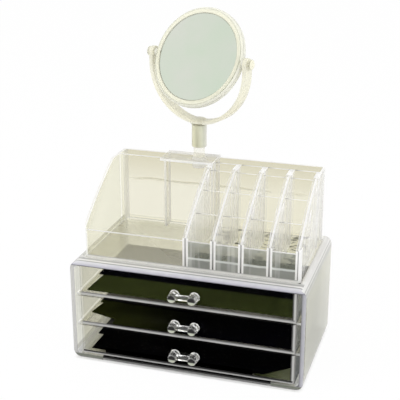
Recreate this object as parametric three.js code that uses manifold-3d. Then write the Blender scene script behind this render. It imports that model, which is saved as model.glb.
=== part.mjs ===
// Clear plastic make-up organizer: a case with drawers, a divided tray on top of it,
// and a round mirror in a yoke that plugs into a bridge at the back of the tray.
// Millimetres. X to the right, Y to the back, Z up. The origin is the middle of the case's underside.

import * as THREE from 'three';
import { mergeVertices } from 'three/addons/utils/BufferGeometryUtils.js';
import Module from 'manifold-3d';

const wasm = await Module();
wasm.setup();

// Clearances shared by the whole object
const restGap = 0.1; // between a piece and the flat face that it rests on
const sideGap = 0.6; // between a sliding or dropped-in piece and the walls beside it
const turnGap = 0.1; // radial, between a turning pin and its hole
const overrun = 1; // how far a cut runs past the face that it opens

// Case
const caseWidth = 240;
const caseDepth = 140;
const caseHeight = 106.4;
const caseSideWall = 4.2;
const caseTopWall = 4.1;
const caseFloorWall = 4;
const caseBackWall = 3;
const caseEdgeRadius = 8; // the four long edges
const caseBackCornerRadius = 7; // the two upright edges at the back
const pocketDepth = 1.2; // the shallow recess that the tray stands in
const pocketMargin = 1.6; // from the tray to the pocket's edge
const pocketFrontMargin = 5.5;
const reliefInset = 32; // the shallow relief under the front edge, from each side
const reliefDepth = 12;
const reliefHeight = 1.2;

// Runner ribs on the case's side walls
const drawerCount = 3;
const runnerReach = 8.4;
const runnerThickness = 2.4;
const runnerFrontSetback = 4;
const floorRunnerHeight = 1.1;

// Drawers
const drawerFrontSetback = 0.8; // behind the case's front edge
const drawerBackRoom = 5; // between a shut drawer and the case's back wall
const drawerRunnerRoom = 0.8; // above a drawer's flange, below the next runner
const drawerTopRoom = 2; // above the top drawer
const drawerInset = 4.5; // from a drawer's side to the case's side wall
const drawerWall = 2.2;
const drawerFrontWall = 2.6;
const drawerFrontRise = 1.6; // the front stands higher than the sides and hides the gap above them
const drawerFloorWall = 2.4;
const drawerCornerRadius = 3;
const flangeThickness = 1.8;
const flangeFrontSetback = 6;

// Loose liners from the top drawer down, measured from the drawer's inside faces
const linerThickness = 1;
const linerGap = 0.6; // at the back, the right and the rear left
const linerFrontGaps = [3.6, 0.8, 3.2];
const linerWaistDepths = [42.6, 42.9, 34.6]; // in front of here a liner is narrower at its left
const linerWaistInsets = [6.2, 4.9, 7.1];
const linerFrontInsets = [3.8, 1, 6.6];
const linerLeftClips = [0, 30, 0]; // the middle liner lacks its front left corner
const linerClipRise = 8.6;
const linerClipLip = 9.6;
const linerRightClips = [0, 0, 30]; // and the bottom one its front right corner

// Handles: two tapered knobs joined by a bar, with a peg behind each knob
const knobReach = 11;
const knobBaseRadius = 5.4;
const knobFrontRadius = 4.4;
const knobFrontChamfer = 0.6;
const knobSides = 10;
const knobSpacing = 20.4;
const barHeight = 5;
const barDepth = 4.4;
const barFrontSetback = 3.2;
const barSoftening = 1;
const pegRadius = 1.9;
const pegProud = 0.8; // how far a peg shows inside the drawer
const pegSides = 16;
const handleDrop = 1.2; // below the middle of the drawer's front

// Tray
const traySideSetback = 9.4; // from the case's side
const trayFrontSetback = 16.6; // from the case's front edge
const trayBackSetback = 8.6;
const trayHeight = 80.8;
const trayWall = 2.6;
const trayFloorWall = 2.5;
const trayCornerRadius = 4.4;
const trayFrontWallHeight = 29.5;
const slopeFrontHeight = 33; // where a side wall's slope starts
const slopeLength = 77.4; // from the tray's front to the end of the slope
const slopeBulge = 3;
const slopeSteps = 8;
const troughDepth = 15.8; // the narrow trough along the back
const columnCount = 4;
const rowCount = 4;
const columnPitch = 28;
const rowPitch = 25;
const dividerWidth = 5.6; // a hollow divider, open below
const dividerSkin = 1.7;
const crossWall = 2;
const crossDrop = 1.2; // a cross wall's top edge below the slope

// Bridge over the trough, which carries the mirror
const bridgeWidth = 57.4;
const bridgePlate = 2.5;
const bridgeFrontReach = 10.2; // forward of the wall in front of the trough
const bridgeLeg = 2.4;
const socketRoom = 0.4; // between the socket and the trough's walls
const socketWall = 1.6;
const socketDepth = 9;
const mirrorOffset = 20.6; // from the bridge's right end to the mirror's post

// Mirror stand
const stemPlugDepth = 7.5;
const stemNeck = 11; // bare stem between the bridge and the post
const postRadius = 7.8;
const postLength = 24;
const stemTopInset = 3; // the stem ends inside the post
const collarRadius = 9.3;
const collarHeight = 2;
const collarRimRadius = 8.5;
const collarRimHeight = 0.7;
const stemBoltRadius = 2.2; // the stem's slim end, through the collar and the yoke

// Yoke
const yokeRoom = 2.8; // between the mirror's ring and the yoke
const yokeThickness = 4;
const yokeWidth = 12;
const yokeArmRise = 9.6; // straight part of each arm, up to the pivot
const yokeSegments = 40;
const yokeBossRadius = 6;
const yokeDip = 1.1; // the band's lowest point below the collar's top
const hubHeight = 4; // hub on the collar, which holds the band
const hubTopRadius = 6.2;
const hubSideHeight = 2.2;
const hubCover = 1.2; // plastic over the end of the stem's bolt

// Mirror head
const frameRadius = 52.3;
const frameHalfDepth = 4.6;
const frameRimInset = 2.2;
const webHalfThickness = 1.3;
const frameRimWidth = 7; // from the glass to the ring's outside
const glassThickness = 2.2;
const glassGap = 0.5;
const frameSegments = 64;
const pivotRadius = 2.2;
const pivotDepth = 3.6; // how deep a pivot pin goes into the frame
const pivotShoulderRadius = 3.8;
const pivotShoulderGap = 0.6; // from the frame's shoulder to the yoke
const pinHeadRadius = 5.2;
const pinHeadHeight = 4.6;
const pinHeadNeckRadius = 3.4;
const pinSides = 24;

// The mirror as it stands: turned to the left and tipped back
const swivelAngle = THREE.MathUtils.degToRad(-17.2);
const tiltAngle = THREE.MathUtils.degToRad(25.8);

const linerClipShare = 0.85; // a right clip's depth to its width
const roundSteps = 6; // straight lines in a quarter of a rounded corner
const roundSides = 32;

// Derived places
const caseFrontY = -caseDepth / 2;
const caseBackY = caseDepth / 2;
const caseInnerX = caseWidth / 2 - caseSideWall;
const caseCeilingZ = caseHeight - caseTopWall;
const trayBaseZ = caseHeight - pocketDepth + restGap;
const trayWidth = caseWidth - traySideSetback * 2;
const trayFrontY = caseFrontY + trayFrontSetback;
const trayBackY = caseBackY - trayBackSetback;
const trayTopZ = trayBaseZ + trayHeight;
const trayFloorZ = trayBaseZ + trayFloorWall;
const troughBackY = trayBackY - trayWall;
const troughFrontY = troughBackY - troughDepth;
const middleWallFrontY = troughFrontY - trayWall;
const troughMiddleY = (troughFrontY + troughBackY) / 2;
const gridRightX = trayWidth / 2 - dividerWidth / 2;
const gridLeftX = gridRightX - columnCount * columnPitch;
const bridgeRightX = gridLeftX + dividerWidth / 2;
const bridgeLeftX = bridgeRightX - bridgeWidth;
const bridgeBaseZ = trayTopZ + restGap;
const bridgeTopZ = bridgeBaseZ + bridgePlate;
const postX = bridgeRightX - mirrorOffset;
const drawerFrontY = caseFrontY + drawerFrontSetback;
const drawerBackY = caseBackY - caseBackWall - drawerBackRoom;
const drawerHalfWidth = caseInnerX - drawerInset;
const drawerBaseZ = caseFloorWall + floorRunnerHeight + restGap;
const drawerPitch = (caseCeilingZ - drawerTopRoom - drawerBaseZ + runnerThickness + restGap + drawerRunnerRoom)
  / drawerCount;
const drawerHeight = drawerPitch - runnerThickness - restGap - drawerRunnerRoom;
const drawerInnerWidth = (drawerHalfWidth - drawerWall) * 2;
const drawerInnerLength = drawerBackY - drawerWall - drawerFrontY - drawerFrontWall;

const socketRadius = troughDepth / 2 - socketRoom;
const stemRadius = socketRadius - socketWall;
const glassRadius = frameRadius - frameRimWidth;
const frameRimRadius = frameRadius - frameRimInset;
const yokeInnerRadius = frameRadius + yokeRoom;
const pivotShoulder = yokeRoom - pivotShoulderGap;

// Closed solids and booleans

function toSolid(geometry) {
  const bare = geometry.clone();
  bare.deleteAttribute('normal');
  bare.deleteAttribute('uv');
  const merged = mergeVertices(bare);
  return new wasm.Manifold(new wasm.Mesh({
    numProp: 3,
    vertProperties: Float32Array.from(merged.attributes.position.array),
    triVerts: Uint32Array.from(merged.index.array),
  }));
}

function toGeometry(solid) {
  const mesh = solid.getMesh();
  const indexed = new THREE.BufferGeometry();
  indexed.setAttribute('position', new THREE.BufferAttribute(mesh.vertProperties, 3));
  indexed.setIndex(new THREE.BufferAttribute(mesh.triVerts, 1));
  const flat = indexed.toNonIndexed();
  flat.computeVertexNormals();
  return flat;
}

function join(geometries) {
  return toGeometry(geometries.map(toSolid).reduce((whole, next) => whole.add(next)));
}

function cut(geometry, cutters) {
  return toGeometry(cutters.map(toSolid).reduce((whole, next) => whole.subtract(next), toSolid(geometry)));
}

function common(first, second) {
  return toGeometry(toSolid(first).intersect(toSolid(second)));
}

// A box between two corners
function block(low, high) {
  const size = high.map((value, i) => value - low[i]);
  const middle = high.map((value, i) => (value + low[i]) / 2);
  return new THREE.BoxGeometry(...size).translate(...middle);
}

// An outline in plan, or in an upright plane, with its four corners rounded
function roundedOutline(left, right, low, high, radii) {
  const [lowLeft, lowRight, highRight, highLeft] = radii;
  const outline = new THREE.Shape();
  outline.moveTo(left + lowLeft, low);
  outline.lineTo(right - lowRight, low);
  if (lowRight > 0) outline.absarc(right - lowRight, low + lowRight, lowRight, -Math.PI / 2, 0);
  outline.lineTo(right, high - highRight);
  if (highRight > 0) outline.absarc(right - highRight, high - highRight, highRight, 0, Math.PI / 2);
  outline.lineTo(left + highLeft, high);
  if (highLeft > 0) outline.absarc(left + highLeft, high - highLeft, highLeft, Math.PI / 2, Math.PI);
  outline.lineTo(left, low + lowLeft);
  if (lowLeft > 0) outline.absarc(left + lowLeft, low + lowLeft, lowLeft, Math.PI, Math.PI * 1.5);
  return outline;
}

// Extrudes an outline drawn in X and Y upwards from one height to another
function risen(outline, lowZ, highZ) {
  const settings = { depth: highZ - lowZ, bevelEnabled: false, curveSegments: roundSteps };
  return new THREE.ExtrudeGeometry(outline, settings).translate(0, 0, lowZ);
}

// Extrudes an outline drawn in X and Z from a front place to a back place
function deepened(outline, frontY, backY) {
  const settings = { depth: backY - frontY, bevelEnabled: false, curveSegments: roundSteps };
  return new THREE.ExtrudeGeometry(outline, settings).rotateX(Math.PI / 2).translate(0, backY, 0);
}

// Extrudes an outline drawn in Y and Z from a left place to a right place
function widened(outline, leftX, rightX) {
  const settings = { depth: rightX - leftX, bevelEnabled: false, curveSegments: roundSteps };
  const solid = new THREE.ExtrudeGeometry(outline, settings);
  return solid.rotateX(Math.PI / 2).rotateZ(Math.PI / 2).translate(leftX, 0, 0);
}

// An upright turned solid: the profile's points are radius and height
function turned(points, sides) {
  return new THREE.LatheGeometry(points.map(([radius, height]) => new THREE.Vector2(radius, height)), sides);
}

// A turned solid stands along Y until it is laid along Z or X
function standing(geometry) {
  return geometry.rotateX(Math.PI / 2);
}

function lyingAlongX(geometry) {
  return geometry.rotateZ(-Math.PI / 2);
}

function rod(radius, low, high, sides) {
  return turned([[0, low], [radius, low], [radius, high], [0, high]], sides);
}

function node(name, geometry, colour, roughness, metalness = 0) {
  const material = new THREE.MeshStandardMaterial({ color: colour, roughness, metalness });
  const mesh = new THREE.Mesh(geometry, material);
  mesh.name = name;
  return mesh;
}

const clearColour = 0xdcdccb;
const clearRoughness = 0.12;

function clearNode(name, geometry) {
  return node(name, geometry, clearColour, clearRoughness);
}

// Case

function caseOuter() {
  const edges = Array(4).fill(caseEdgeRadius);
  const across = roundedOutline(-caseWidth / 2, caseWidth / 2, 0, caseHeight, edges);
  const corners = [0, 0, caseBackCornerRadius, caseBackCornerRadius];
  const plan = roundedOutline(-caseWidth / 2, caseWidth / 2, caseFrontY, caseBackY, corners);
  return common(deepened(across, caseFrontY, caseBackY), risen(plan, 0, caseHeight));
}

function caseHollow() {
  const edges = Array(4).fill(caseEdgeRadius - caseSideWall);
  const across = roundedOutline(-caseInnerX, caseInnerX, caseFloorWall, caseCeilingZ, edges);
  return deepened(across, caseFrontY - overrun, caseBackY - caseBackWall);
}

function casePocket() {
  const halfWidth = trayWidth / 2 + pocketMargin;
  const corners = Array(4).fill(trayCornerRadius + pocketMargin);
  const frontY = trayFrontY - pocketFrontMargin;
  const plan = roundedOutline(-halfWidth, halfWidth, frontY, trayBackY + pocketMargin, corners);
  return risen(plan, caseHeight - pocketDepth, caseHeight + overrun);
}

function caseRelief() {
  return block(
    [-caseWidth / 2 + reliefInset, caseFrontY - overrun, -overrun],
    [caseWidth / 2 - reliefInset, caseFrontY + reliefDepth, reliefHeight],
  );
}

// A pair of ribs under each drawer: low ones on the floor, and shelves on the walls above
function caseRunners() {
  const ribs = [];
  const innerX = caseInnerX - runnerReach;
  for (let level = 0; level < drawerCount; level += 1) {
    const topZ = drawerBaseZ - restGap + level * drawerPitch;
    const lowZ = level === 0 ? caseFloorWall - reliefHeight : topZ - runnerThickness;
    const outerX = level === 0 ? caseInnerX - (caseEdgeRadius - caseSideWall) : caseInnerX + overrun;
    for (const side of [-1, 1]) {
      const ends = [side * innerX, side * outerX].sort((a, b) => a - b);
      ribs.push(block(
        [ends[0], caseFrontY + runnerFrontSetback, lowZ],
        [ends[1], caseBackY - caseBackWall + overrun, topZ],
      ));
    }
  }
  return ribs;
}

function caseShell() {
  const hollow = cut(caseOuter(), [caseHollow(), casePocket(), caseRelief()]);
  return clearNode('case_shell', join([hollow, ...caseRunners()]));
}

// Drawers

function drawerBaseOf(level) {
  return drawerBaseZ + level * drawerPitch;
}

function handleHeightOf(level) {
  return drawerBaseOf(level) + drawerHeight / 2 - handleDrop;
}

function drawerFlange(side, topZ) {
  const edgeX = caseInnerX - sideGap;
  const ends = [side * (drawerHalfWidth - drawerWall / 2), side * edgeX].sort((a, b) => a - b);
  return block(
    [ends[0], drawerFrontY + flangeFrontSetback, topZ - flangeThickness],
    [ends[1], drawerBackY, topZ],
  );
}

function pegHole(side, height) {
  const hole = rod(pegRadius + turnGap, -overrun, drawerFrontWall + overrun, pegSides);
  return hole.translate(side * knobSpacing / 2, drawerFrontY, height);
}

function drawer(level) {
  const baseZ = drawerBaseOf(level);
  const topZ = baseZ + drawerHeight;
  const frontTopZ = topZ + drawerFrontRise;
  const corners = Array(4).fill(drawerCornerRadius);
  const plan = roundedOutline(-drawerHalfWidth, drawerHalfWidth, drawerFrontY, drawerBackY, corners);
  const aboveSides = block(
    [-drawerHalfWidth - overrun, drawerFrontY + drawerFrontWall, topZ],
    [drawerHalfWidth + overrun, drawerBackY + overrun, frontTopZ + overrun],
  );
  const innerCorners = Array(4).fill(drawerCornerRadius - drawerWall);
  const hollowPlan = roundedOutline(
    -drawerHalfWidth + drawerWall,
    drawerHalfWidth - drawerWall,
    drawerFrontY + drawerFrontWall,
    drawerBackY - drawerWall,
    innerCorners,
  );
  const tub = cut(risen(plan, baseZ, frontTopZ), [aboveSides]);
  const box = join([tub, drawerFlange(-1, topZ), drawerFlange(1, topZ)]);
  const hollow = risen(hollowPlan, baseZ + drawerFloorWall, topZ + overrun);
  const holes = [-1, 1].map((side) => pegHole(side, handleHeightOf(level)));
  return clearNode(`drawer_${drawerCount - level}`, cut(box, [hollow, ...holes]));
}

// The outline of a liner within the drawer's inside, which starts at the front left corner
function linerOutline(index) {
  const waist = linerWaistDepths[index];
  const frontY = linerFrontGaps[index];
  const rightX = drawerInnerWidth - linerGap;
  const backY = drawerInnerLength - linerGap;
  const leftClip = linerLeftClips[index];
  const rightClip = linerRightClips[index];
  const outline = new THREE.Shape();
  outline.moveTo(linerGap, backY);
  outline.lineTo(linerGap, waist);
  outline.lineTo(linerWaistInsets[index], waist);
  if (leftClip > 0) {
    outline.lineTo(linerFrontInsets[index], frontY + linerClipLip + linerClipRise);
    outline.lineTo(linerFrontInsets[index] + leftClip, frontY + linerClipLip);
  }
  outline.lineTo(linerFrontInsets[index] + leftClip, frontY);
  outline.lineTo(rightX - rightClip, frontY);
  if (rightClip > 0) outline.lineTo(rightX, frontY + rightClip * linerClipShare);
  outline.lineTo(rightX, backY);
  return outline;
}

function liner(level) {
  const index = drawerCount - 1 - level;
  const sheet = risen(linerOutline(index), 0, linerThickness);
  const baseZ = drawerBaseOf(level) + drawerFloorWall + restGap;
  sheet.translate(-drawerInnerWidth / 2, drawerFrontY + drawerFrontWall, baseZ);
  return node(`liner_${drawerCount - level}`, sheet, 0x14160c, 0.55);
}

// The knob and its peg are one turned piece, drawn along Y with the drawer's front at zero
function handleKnob(side) {
  const profile = [
    [0, -knobReach],
    [knobFrontRadius - knobFrontChamfer, -knobReach],
    [knobFrontRadius, -knobReach + knobFrontChamfer],
    [knobBaseRadius, -restGap],
    [0, -restGap],
  ];
  const knob = turned(profile, knobSides).translate(side * knobSpacing / 2, 0, 0);
  const peg = rod(pegRadius, -restGap - overrun, drawerFrontWall + pegProud, pegSides);
  return [knob, peg.translate(side * knobSpacing / 2, 0, 0)];
}

function handle(level) {
  const corners = Array(4).fill(barSoftening);
  const section = roundedOutline(
    -knobReach + barFrontSetback,
    -knobReach + barFrontSetback + barDepth,
    -barHeight / 2,
    barHeight / 2,
    corners,
  );
  const bar = widened(section, -knobSpacing / 2, knobSpacing / 2);
  const geometry = join([bar, ...handleKnob(-1), ...handleKnob(1)]);
  geometry.translate(0, drawerFrontY, handleHeightOf(level));
  return clearNode(`handle_${drawerCount - level}`, geometry);
}

// Tray

// Height of a sloping wall above the tray's base, at a distance from the tray's front
function slopeHeight(distance) {
  const share = Math.min(distance / slopeLength, 1);
  const straight = slopeFrontHeight + (trayHeight - slopeFrontHeight) * share;
  return straight + slopeBulge * 4 * share * (1 - share);
}

function slopeZ(y) {
  return trayBaseZ + slopeHeight(y - trayFrontY);
}

// The side view of a sloping wall, less a skin all round where it is hollow
function slopeOutline(frontY, backY, skin) {
  const outline = new THREE.Shape();
  const lowZ = skin > 0 ? trayBaseZ - overrun : trayBaseZ;
  const nearY = frontY + skin;
  const farY = backY - skin;
  outline.moveTo(farY, lowZ);
  outline.lineTo(farY, slopeZ(farY) - skin);
  for (let step = slopeSteps; step > 0; step -= 1) {
    const y = trayFrontY + slopeLength * step / slopeSteps;
    if (y > nearY && y < farY) outline.lineTo(y, slopeZ(y) - skin);
  }
  outline.lineTo(nearY, slopeZ(nearY) - skin);
  outline.lineTo(nearY, lowZ);
  return outline;
}

function dividerX(index) {
  return gridLeftX + index * columnPitch;
}

function crossY(row) {
  return trayFrontY + row * rowPitch;
}

// Hollow dividers stand between and beside the columns, and the cross walls step up behind them
function trayDividers() {
  const walls = [];
  for (let index = 0; index <= columnCount; index += 1) {
    const leftX = dividerX(index) - dividerWidth / 2;
    const backY = index === columnCount ? trayBackY : middleWallFrontY + trayWall / 2;
    walls.push(widened(slopeOutline(trayFrontY, backY, 0), leftX, leftX + dividerWidth));
  }
  for (let row = 1; row < rowCount; row += 1) {
    const frontY = crossY(row);
    const topZ = trayBaseZ + slopeHeight(frontY - trayFrontY) - crossDrop;
    walls.push(block([gridLeftX, frontY, trayBaseZ], [gridRightX, frontY + crossWall, topZ]));
  }
  return walls;
}

function dividerSlots() {
  const slots = [];
  for (let index = 0; index <= columnCount; index += 1) {
    const halfSlot = dividerWidth / 2 - dividerSkin;
    const backY = middleWallFrontY;
    const outline = slopeOutline(trayFrontY, backY, dividerSkin);
    slots.push(widened(outline, dividerX(index) - halfSlot, dividerX(index) + halfSlot));
  }
  return slots;
}

// In the trough the tray's right wall is a plain wall again
function troughRelief() {
  return block(
    [trayWidth / 2 - dividerWidth - overrun, troughFrontY, trayFloorZ],
    [trayWidth / 2 - trayWall, troughBackY, trayTopZ + overrun],
  );
}

function trayShell() {
  const corners = Array(4).fill(trayCornerRadius);
  const plan = roundedOutline(-trayWidth / 2, trayWidth / 2, trayFrontY, trayBackY, corners);
  const floor = risen(plan, trayBaseZ, trayFloorZ);
  const leftWall = widened(slopeOutline(trayFrontY, trayBackY, 0), -trayWidth / 2, -trayWidth / 2 + trayWall);
  const frontTopZ = trayBaseZ + trayFrontWallHeight;
  const front = block([-trayWidth / 2, trayFrontY, trayBaseZ], [trayWidth / 2, trayFrontY + trayWall, frontTopZ]);
  const middle = block([-trayWidth / 2, middleWallFrontY, trayBaseZ], [trayWidth / 2, troughFrontY, trayTopZ]);
  const back = block([-trayWidth / 2, troughBackY, trayBaseZ], [trayWidth / 2, trayBackY, trayTopZ]);
  const walls = join([floor, leftWall, front, middle, back, ...trayDividers()]);
  return common(walls, risen(plan, trayBaseZ, trayTopZ));
}

function tray() {
  return clearNode('organizer_tray', cut(trayShell(), [...dividerSlots(), troughRelief()]));
}

// Bridge

function bridge() {
  const plate = block(
    [bridgeLeftX, middleWallFrontY - bridgeFrontReach, bridgeBaseZ],
    [bridgeRightX, trayBackY, bridgeTopZ],
  );
  const legs = [bridgeLeftX, bridgeRightX - bridgeLeg].map((leftX) => block(
    [leftX, troughFrontY + restGap, trayFloorZ + restGap],
    [leftX + bridgeLeg, troughBackY - restGap, bridgeBaseZ + bridgePlate / 2],
  ));
  const lowZ = bridgeBaseZ - socketDepth;
  const socket = standing(rod(socketRadius, lowZ, bridgeBaseZ + bridgePlate / 2, roundSides));
  const bore = standing(rod(stemRadius + turnGap, lowZ - overrun, bridgeTopZ + overrun, roundSides));
  const place = [postX, troughMiddleY, 0];
  const body = join([plate, ...legs, socket.translate(...place)]);
  return clearNode('mirror_bridge', cut(body, [bore.translate(...place)]));
}

// Mirror stand, drawn about the post's axis

const postBaseZ = bridgeTopZ + stemNeck;
const postTopZ = postBaseZ + postLength;
const collarTopZ = postTopZ + collarHeight;
const hubBaseZ = collarTopZ + restGap;
const hubTopZ = hubBaseZ + hubHeight;
const boltTopZ = hubTopZ - hubCover;
const yokeBaseZ = collarTopZ - yokeDip;
const yokeOuterRadius = yokeInnerRadius + yokeThickness;
const yokeCentreZ = yokeBaseZ + yokeOuterRadius;
const pivotZ = yokeCentreZ + yokeArmRise;

function mirrorStem() {
  const profile = [
    [0, bridgeTopZ - stemPlugDepth],
    [stemRadius, bridgeTopZ - stemPlugDepth],
    [stemRadius, postTopZ - stemTopInset],
    [stemBoltRadius, postTopZ - stemTopInset],
    [stemBoltRadius, boltTopZ],
    [0, boltTopZ],
  ];
  return clearNode('mirror_stem', standing(turned(profile, roundSides)));
}

function mirrorPost() {
  const stemHole = stemRadius + turnGap;
  const boltHole = stemBoltRadius + turnGap;
  const profile = [
    [stemHole, postBaseZ],
    [postRadius, postBaseZ],
    [postRadius, postTopZ],
    [boltHole, postTopZ],
    [boltHole, postTopZ - stemTopInset + restGap],
    [stemHole, postTopZ - stemTopInset + restGap],
    [stemHole, postBaseZ],
  ];
  return node('mirror_post', standing(turned(profile, roundSides)), 0xd9d8b8, 0.2);
}

function postCollar() {
  const boltHole = stemBoltRadius + turnGap;
  const lowZ = postTopZ + restGap;
  const profile = [
    [boltHole, lowZ],
    [collarRimRadius, lowZ],
    [collarRadius, lowZ + collarRimHeight],
    [collarRadius, collarTopZ - collarRimHeight],
    [collarRimRadius, collarTopZ],
    [boltHole, collarTopZ],
    [boltHole, lowZ],
  ];
  return clearNode('post_collar', standing(turned(profile, roundSides)));
}

// The yoke is a flat band bent to a U, with a round hub under it and a boss at the top of each arm
function yokeOutline() {
  const outline = new THREE.Shape();
  outline.moveTo(yokeOuterRadius, pivotZ);
  outline.lineTo(yokeInnerRadius, pivotZ);
  outline.lineTo(yokeInnerRadius, yokeCentreZ);
  outline.absarc(0, yokeCentreZ, yokeInnerRadius, 0, -Math.PI, true);
  outline.lineTo(-yokeInnerRadius, pivotZ);
  outline.lineTo(-yokeOuterRadius, pivotZ);
  outline.lineTo(-yokeOuterRadius, yokeCentreZ);
  outline.absarc(0, yokeCentreZ, yokeOuterRadius, Math.PI, Math.PI * 2, false);
  return outline;
}

function yokeHub() {
  const profile = [
    [0, hubBaseZ],
    [collarRadius, hubBaseZ],
    [collarRadius, hubBaseZ + hubSideHeight],
    [hubTopRadius, hubTopZ],
    [0, hubTopZ],
  ];
  return standing(turned(profile, roundSides));
}

function yoke() {
  const settings = { depth: yokeWidth, bevelEnabled: false, curveSegments: yokeSegments };
  const band = new THREE.ExtrudeGeometry(yokeOutline(), settings).rotateX(Math.PI / 2);
  band.translate(0, yokeWidth / 2, 0);
  const bosses = [yokeInnerRadius, -yokeOuterRadius].map((leftX) => (
    lyingAlongX(rod(yokeBossRadius, 0, yokeThickness, pinSides)).translate(leftX, 0, pivotZ)
  ));
  const reach = yokeOuterRadius + overrun;
  const pivotHole = lyingAlongX(rod(pivotRadius + turnGap, -reach, reach, pinSides)).translate(0, 0, pivotZ);
  const boltHole = standing(rod(stemBoltRadius + turnGap, yokeBaseZ - overrun, boltTopZ + restGap, roundSides));
  const collarRoom = standing(rod(collarRadius + restGap, yokeBaseZ - overrun, hubBaseZ, roundSides));
  const solid = join([cut(band, [collarRoom]), yokeHub(), ...bosses]);
  return clearNode('mirror_yoke', cut(solid, [pivotHole, boltHole]));
}

// Mirror head, drawn about its centre with its faces to the front and the back

function pinHole(side) {
  const nearX = frameRadius - pivotDepth - restGap;
  const farX = frameRadius + pivotShoulder + overrun;
  return lyingAlongX(rod(pivotRadius + turnGap, nearX, farX, pinSides)).rotateZ(side > 0 ? 0 : Math.PI);
}

function mirrorFrame() {
  const recessRadius = glassRadius + glassGap;
  const profile = [[0, -webHalfThickness], [recessRadius, -webHalfThickness], [recessRadius, -frameHalfDepth]];
  profile.push([frameRimRadius, -frameHalfDepth], [frameRadius, -frameHalfDepth / 2]);
  profile.push([frameRadius, frameHalfDepth / 2], [frameRimRadius, frameHalfDepth]);
  profile.push([recessRadius, frameHalfDepth], [recessRadius, webHalfThickness], [0, webHalfThickness]);
  const shoulders = [-1, 1].map((side) => {
    const boss = rod(pivotShoulderRadius, frameRadius - pivotDepth, frameRadius + pivotShoulder, pinSides);
    return lyingAlongX(boss).rotateZ(side > 0 ? 0 : Math.PI);
  });
  const body = join([turned(profile, frameSegments), ...shoulders]);
  return clearNode('mirror_frame', cut(body, [pinHole(-1), pinHole(1)]));
}

function mirrorGlass(name, side) {
  const lowY = webHalfThickness + restGap;
  const disc = rod(glassRadius, lowY, lowY + glassThickness, frameSegments);
  return node(name, side > 0 ? disc : disc.rotateX(Math.PI), 0xc6cdbf, 0.06, 0.9);
}

function pivotPin(name, side) {
  const headX = yokeOuterRadius + restGap;
  const profile = [
    [0, frameRadius - pivotDepth],
    [pivotRadius, frameRadius - pivotDepth],
    [pivotRadius, headX],
    [pinHeadNeckRadius, headX],
    [pinHeadRadius, headX + pinHeadHeight / 2],
    [pinHeadRadius, headX + pinHeadHeight * 3 / 4],
    [pinHeadNeckRadius, headX + pinHeadHeight],
    [0, headX + pinHeadHeight],
  ];
  return clearNode(name, lyingAlongX(turned(profile, pinSides)).rotateZ(side > 0 ? 0 : Math.PI));
}

function mirrorHead() {
  const head = new THREE.Group();
  head.position.set(0, 0, pivotZ);
  head.rotation.x = -tiltAngle;
  head.add(mirrorFrame());
  head.add(mirrorGlass('mirror_glass_front', -1));
  head.add(mirrorGlass('mirror_glass_back', 1));
  head.add(pivotPin('pivot_pin_left', -1));
  head.add(pivotPin('pivot_pin_right', 1));
  return head;
}

function mirror() {
  const stand = new THREE.Group();
  stand.position.set(postX, troughMiddleY, 0);
  stand.rotation.z = swivelAngle;
  stand.add(mirrorStem());
  stand.add(mirrorPost());
  stand.add(postCollar());
  stand.add(yoke());
  stand.add(mirrorHead());
  return stand;
}

const organizer = new THREE.Group();
organizer.add(caseShell());
for (let level = 0; level < drawerCount; level += 1) {
  organizer.add(drawer(level));
  organizer.add(liner(level));
  organizer.add(handle(level));
}
organizer.add(tray());
organizer.add(bridge());
organizer.add(mirror());

export default organizer;
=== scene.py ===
import bmesh
import bpy
import math
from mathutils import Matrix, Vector


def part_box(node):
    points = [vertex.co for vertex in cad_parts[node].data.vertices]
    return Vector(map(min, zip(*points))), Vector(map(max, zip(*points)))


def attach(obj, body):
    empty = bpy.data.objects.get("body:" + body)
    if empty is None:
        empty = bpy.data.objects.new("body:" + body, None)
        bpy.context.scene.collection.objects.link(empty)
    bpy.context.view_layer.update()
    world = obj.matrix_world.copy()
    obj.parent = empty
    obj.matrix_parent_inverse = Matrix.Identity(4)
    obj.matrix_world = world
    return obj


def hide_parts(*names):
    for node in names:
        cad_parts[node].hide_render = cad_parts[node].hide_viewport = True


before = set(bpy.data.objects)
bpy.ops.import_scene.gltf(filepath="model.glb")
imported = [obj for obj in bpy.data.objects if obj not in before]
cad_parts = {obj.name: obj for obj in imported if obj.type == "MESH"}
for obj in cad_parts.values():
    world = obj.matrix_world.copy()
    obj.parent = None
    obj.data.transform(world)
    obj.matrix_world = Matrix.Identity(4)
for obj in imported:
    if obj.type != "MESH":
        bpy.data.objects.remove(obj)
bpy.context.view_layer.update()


# The studio: a white sweep under soft light, seen from a little above and from the right.
# The sweep shows white to the eye and through the clear plastic, and takes a faint shadow.

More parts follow.
